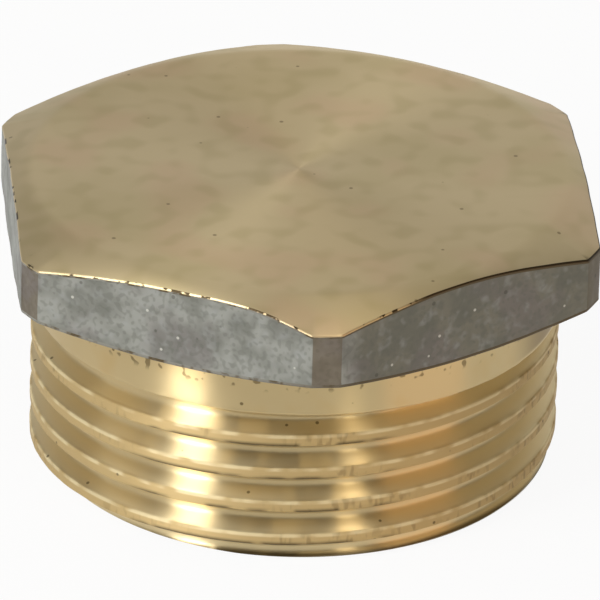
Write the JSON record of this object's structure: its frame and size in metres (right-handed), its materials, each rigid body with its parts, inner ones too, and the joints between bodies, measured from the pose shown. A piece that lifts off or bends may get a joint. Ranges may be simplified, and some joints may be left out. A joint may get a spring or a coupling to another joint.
{
  "type": "hexagon head blanking plug",
  "caption": "Hexagon-head brass blanking plug with an external parallel pipe thread, a plain neck under the head and a blind cavity that opens in its end face.",
  "frame": {"origin": "on the thread axis, in the ring-shaped end face of the stub that the plug stands on", "axes": "+Z along the thread axis from the end face to the top of the head; +Y to a corner of the hexagon, +X square to a flat"},
  "size_m": [0.036, 0.0406, 0.019],
  "materials": {
    "brass": "forged brass: turned on the top face, neck and thread, grey and blasted on the six flats"
  },
  "bodies": {
    "root": {"blanking_plug": "brass"}
  },
  "joints": []
}
